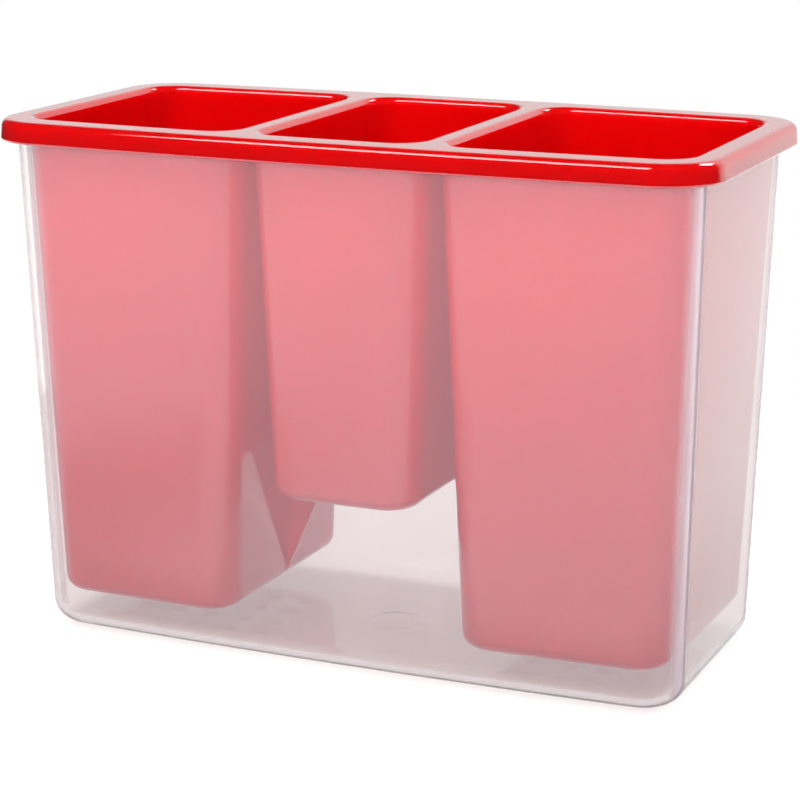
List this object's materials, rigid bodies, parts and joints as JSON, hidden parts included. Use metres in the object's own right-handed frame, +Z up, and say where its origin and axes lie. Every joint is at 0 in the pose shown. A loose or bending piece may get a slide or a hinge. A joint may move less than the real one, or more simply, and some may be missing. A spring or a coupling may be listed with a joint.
{
  "type": "cutlery drainer",
  "caption": "Free-standing cutlery drainer: a red rimmed insert with deep and short perforated cups hangs inside a tapered, frosted-clear container that catches the water.",
  "frame": {"origin": "under the middle of the container, on the surface that it stands on", "axes": "+X along the long side, +Y to the back, +Z up, the way the insert lifts out"},
  "size_m": [0.213, 0.1056, 0.151],
  "materials": {
    "frosted_clear": "milky translucent moulded plastic, smooth and slightly glossy",
    "gloss_red": "glossy opaque moulded plastic"
  },
  "bodies": {
    "container": {"container": "frosted_clear"},
    "insert": {"cup_insert": "gloss_red"}
  },
  "joints": [
    {"name": "insert_lift", "type": "slide", "parent": "container", "child": "insert", "axis": [0, 0, 1], "range_m": [0, 0.15]}
  ]
}
